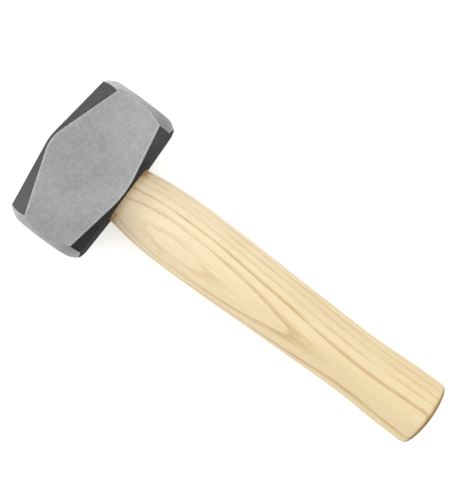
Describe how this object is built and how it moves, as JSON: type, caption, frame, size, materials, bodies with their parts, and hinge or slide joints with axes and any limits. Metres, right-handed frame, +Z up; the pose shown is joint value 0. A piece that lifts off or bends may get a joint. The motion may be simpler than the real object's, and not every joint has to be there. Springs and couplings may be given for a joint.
{
  "type": "lump hammer",
  "caption": "Short-handled lump hammer: forged double-faced head with chamfered cheek edges, wedged on an oval ash handle.",
  "frame": {"origin": "on the cheek that the hammer lies on, below the point where the striking axis crosses the eye's axis", "axes": "+X from the head along the handle to its butt; +Y along the striking axis; +Z up, out of the upper cheek"},
  "size_m": [0.2686, 0.0976, 0.0475],
  "materials": {
    "head_steel": "forged steel: blasted bare cheeks, ground bevels and striking faces, thin black paint on the other sides",
    "ash_wood": "pale sanded ash under a thin clear varnish",
    "wedge_wood": "raw end grain, cut flush with the crown",
    "wedge_steel": "plain stamped steel, hammered and ground flush"
  },
  "bodies": {
    "root": {"head": "head_steel", "handle": "ash_wood", "wooden_wedge": "wedge_wood", "steel_wedge_left": "wedge_steel", "steel_wedge_right": "wedge_steel"}
  },
  "joints": []
}
